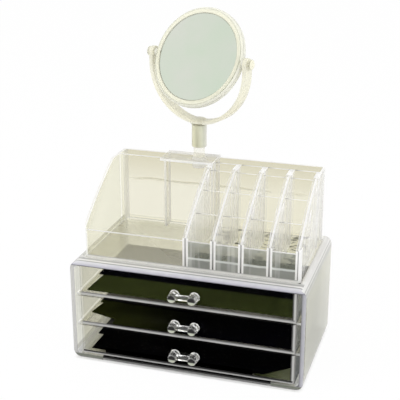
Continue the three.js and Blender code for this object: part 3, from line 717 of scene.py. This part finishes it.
# Painted dark reflection of the drawers below in the cells' front panels, with a pale painted line where
# each cell's back shows through, and paler where the painted streaks of light cross it.
cell_front_reflection = banded("cell_front_reflection", "Z", tray_base, cell_front_top, veil=0.66, marks=light_streaks, stops=(
    (0, (0.44, 0.46, 0.45)), (0.12, (0.29, 0.305, 0.29)), (0.37, (0.27, 0.285, 0.27)),
    (0.40, (0.80, 0.84, 0.83)), (0.44, (0.80, 0.84, 0.83)), (0.47, (0.11, 0.125, 0.10)),
    (0.8, (0.16, 0.17, 0.145)), (1, (0.26, 0.28, 0.26))))
# Painted white highlights where the dividers meet the front wall, and painted shade in the hollow between
# each divider's two walls.
white_bar = banded("white_bar", "Z", tray_base, bar_top, veil=0.92, stops=(
    (0, grey(0.9)), (1, grey(0.95, 0.02))))
hollow_gap = banded("hollow_gap", "Z", tray_base, bar_top, veil=0.8, stops=(
    (0, grey(0.06)), (1, grey(0.30))))
glints = banded("glints", "X", tray_low[0], tray_high[0], veil=0.85, stops=[
    (0.5 + step / glint_count / 2, grey(0.95 if step % 3 else 0.16)) for step in range(glint_count)])


def tray_finish(centre, facing, width):
    """Which finish a face of the tray takes."""
    looks_up = facing.z > squarely
    looks_along = abs(facing.y) > squarely
    from_divider = min(abs(centre.x - place) for place in divider_places)
    in_grid = centre.x > grid_left - skin / 5
    on_divider = in_grid and from_divider < divider_half
    slopes = facing.z > 0.5 and abs(facing.y) > 0.1
    if facing.y < -squarely and centre.y < tray_front + skin:
        if centre.z < tray_foot_top:
            return tray_foot
        if on_divider:
            return hollow_gap if from_divider < divider_hollow else white_bar
        return cell_front_reflection if in_grid else floor_clear
    if on_divider and slopes:
        return crest_clear
    if in_grid and centre.y < cells_back and from_divider > divider_half:
        if looks_up and width < cross_wall:
            return glints
        if looks_along:
            return floor_clear
    if looks_up and centre.z < tray_floor_top:
        return cell_floor if in_grid else floor_clear
    if width < tray_edge:
        return white_edge
    if looks_along and centre.y < back_wall_front:
        return floor_clear
    if in_grid and abs(facing.x) > mostly:
        return cell_clear
    return back_clear if looks_along else wall_clear


divider_edges = (-divider_half, -divider_hollow, divider_hollow, divider_half)
tray_cuts = [("Z", tray_foot_top)]
for place in divider_places:
    tray_cuts += [("X", place + edge) for edge in divider_edges]
tray = moulded(
    "tray", "organizer_tray", "tray", softening=0.0004, finish_of=tray_finish, cuts=tray_cuts,
    finishes=(wall_clear, back_clear, cell_clear, white_edge, tray_foot, cell_front_reflection, white_bar, hollow_gap,
              crest_clear, glints, floor_clear, cell_floor, white_edge),
)


# The bridge over the trough, and in its socket the stem, the pale post, the collar and the yoke.
# The bridge and the yoke are clear. The post is a milky yellow-green sleeve. The bands of light and shade on
# the post and the yoke are painted.

bridge_clear = plastic("bridge_clear", ahead=(0.82, 0.81, 0.74), aside=(0.80, 0.80, 0.88),
                       tint=(0.985, 0.98, 0.96), faintest=0.08, gather=3.0, depth=0.7)


def bridge_finish(centre, facing, width):
    """Broad faces are clear, and strips narrower than a wall take the painted white highlight."""
    return white_edge if width < tray_edge else bridge_clear


bridge = moulded("bridge", "mirror_bridge", "bridge", softening=0.0004, finish_of=bridge_finish,
                 finishes=(bridge_clear, white_edge))

post_low, post_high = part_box("mirror_post")
mirror_low, mirror_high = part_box("mirror_frame")
mirror_centre = (Vector(mirror_low) + Vector(mirror_high)) / 2
mirror_radius = mirror_high[0] - mirror_centre.x
yoke_reach = mirror_radius + 0.019

stand_clear = plastic("stand_clear", ahead=(1.0, 0.99, 0.92), aside=(0.98, 0.97, 0.88),
                      tint=(0.985, 0.98, 0.95), faintest=0.1, gather=2.0, depth=0.35)
pale_edge = plastic("pale_edge", ahead=(1.0, 1.0, 0.96), aside=(1.0, 1.0, 0.96),
                    tint=(0.93, 0.93, 0.90), faintest=0.1, gather=1.5, depth=0.2)
# The post's own milky yellow-green, with painted light and shade in bands across it.
post_milky_and_shade = banded("post_milky_and_shade", "X", post_low[0], post_high[0], veil=0.95, stops=(
    (0, (0.64, 0.64, 0.54)), (0.12, (0.80, 0.79, 0.60)), (0.30, (0.82, 0.81, 0.61)),
    (0.45, (0.64, 0.63, 0.48)), (0.60, (0.72, 0.72, 0.55)), (0.78, (0.81, 0.82, 0.66)),
    (0.92, (0.74, 0.75, 0.65)), (1, (0.88, 0.88, 0.82))))
# The yoke's own cream, with painted light and shade in bands round the mirror.
yoke_cream_and_shade = banded("yoke_cream_and_shade", mirror_centre, mirror_radius, yoke_reach, veil=0.88, stops=(
    (0, (0.95, 0.93, 0.77)), (0.16, (0.89, 0.87, 0.72)), (0.38, (0.91, 0.90, 0.78)),
    (0.55, (0.97, 0.95, 0.79)), (0.66, (0.98, 0.95, 0.78)), (0.88, (1.0, 1.0, 0.92)),
    (1, (0.95, 0.95, 0.90))))
for stand_name, stand_node, stand_finish, stand_slot in (
    ("stem", "mirror_stem", stand_clear, "clear_plastic"),
    ("post", "mirror_post", post_milky_and_shade, "post_plastic"),
    ("collar", "post_collar", stand_clear, "clear_plastic"),
    ("yoke", "mirror_yoke", yoke_cream_and_shade, "clear_plastic"),
):
    stand_piece = moulded(stand_name, stand_node, "stand", softening=0.0005,
                          finishes=(stand_finish, pale_edge))


# The mirror: a silvered glass on each side of a clear ring, which turns on two pins in the yoke.
# The glass shows a pale, slightly green sky, as cheap float glass does.

glass_radius = 0.046
ring_radius = 0.0528

silver, glass = new_finish("silvered_glass")
glass_place = glass.node("ShaderNodeTexCoord", output="Object")
haze = glass_place.noise(scale=16, detail=3)
glass_body = glass.node("ShaderNodeBsdfPrincipled", None, {
    "Base Color": ((haze - 0.35) * 3).clipped().blended((0.70, 0.80, 0.67, 1), (0.78, 0.80, 0.74, 1)),
    "Metallic": 1.0,
    "Roughness": 0.05 + haze * 0.05,
})
glass.node("ShaderNodeOutputMaterial", None, {"Surface": glass_body})

# The ring's own cream, with a painted shade line where the glass meets it, a darker painted band across it
# and painted light on the rest.
ring_cream_and_shade = banded("ring_cream_and_shade", mirror_centre, glass_radius, ring_radius, veil=0.82, stops=(
    (0, (0.70, 0.71, 0.58)), (0.10, (0.97, 0.96, 0.78)), (0.45, (1.0, 0.99, 0.82)),
    (0.60, (0.78, 0.79, 0.64)), (0.72, (1.0, 1.0, 0.88)), (0.90, (1.0, 1.0, 0.90)), (1, (0.90, 0.90, 0.84))))
ring = moulded("ring", "mirror_frame", "mirror", softening=0.0005, finishes=(ring_cream_and_shade, pale_edge))
for side in ("left", "right"):
    pin = moulded(f"pin_{side}", f"pivot_pin_{side}", "mirror", softening=0.0005,
                  finishes=(yoke_cream_and_shade, pale_edge))
for face in ("front", "back"):
    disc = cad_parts[f"mirror_glass_{face}"]
    disc.data.materials.clear()
    disc.data.materials.append(silver)
